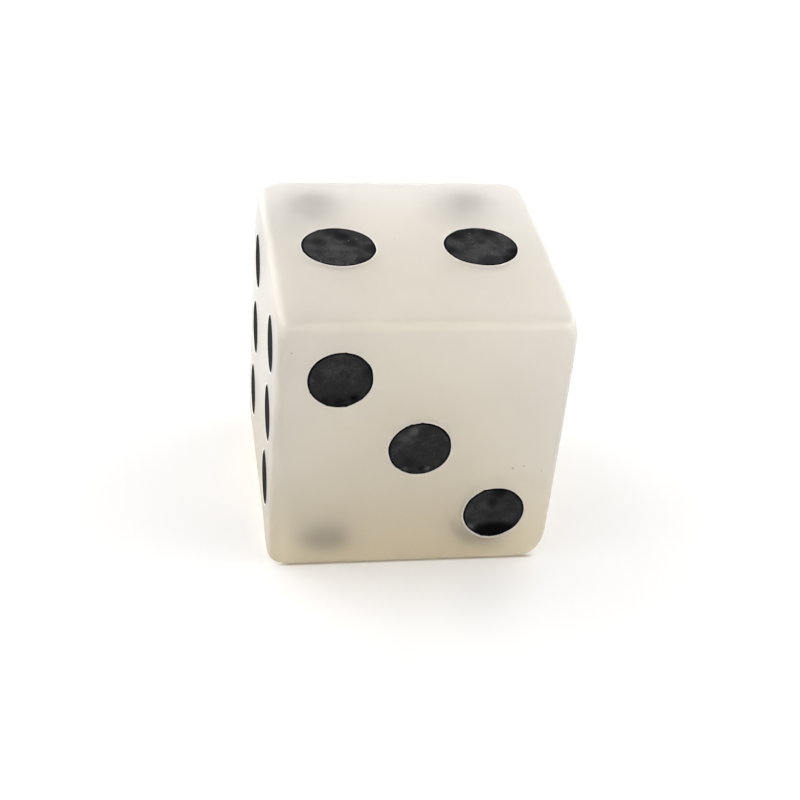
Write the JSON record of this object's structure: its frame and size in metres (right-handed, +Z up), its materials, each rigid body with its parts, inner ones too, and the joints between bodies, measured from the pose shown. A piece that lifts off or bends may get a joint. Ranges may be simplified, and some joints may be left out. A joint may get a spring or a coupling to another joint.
{
  "type": "casino die",
  "caption": "Frosted translucent off-white cube die with crisp edges, rounded corners and flush black filled pips, for table and card games.",
  "frame": {"origin": "centre of the five face, on which the die rests, which is the bottom centre of its box", "axes": "+Z up, out of the two face; -Y out of the three face; +X out of the one face"},
  "size_m": [0.019, 0.019, 0.0191],
  "materials": {
    "frosted_acetate": "frosted, translucent, satin",
    "pip_filling": "cured black filling, semi-gloss"
  },
  "bodies": {
    "root": {"body": "frosted_acetate", "pip_one_centre": "pip_filling", "pip_two_left": "pip_filling", "pip_two_right": "pip_filling", "pip_three_centre": "pip_filling", "pip_three_upper_left": "pip_filling", "pip_three_lower_right": "pip_filling", "pip_four_upper_left": "pip_filling", "pip_four_lower_right": "pip_filling", "pip_four_upper_right": "pip_filling", "pip_four_lower_left": "pip_filling", "pip_five_centre": "pip_filling", "pip_five_upper_left": "pip_filling", "pip_five_lower_right": "pip_filling", "pip_five_upper_right": "pip_filling", "pip_five_lower_left": "pip_filling", "pip_six_upper_left": "pip_filling", "pip_six_middle_left": "pip_filling", "pip_six_lower_left": "pip_filling", "pip_six_upper_right": "pip_filling", "pip_six_middle_right": "pip_filling", "pip_six_lower_right": "pip_filling"}
  },
  "joints": []
}
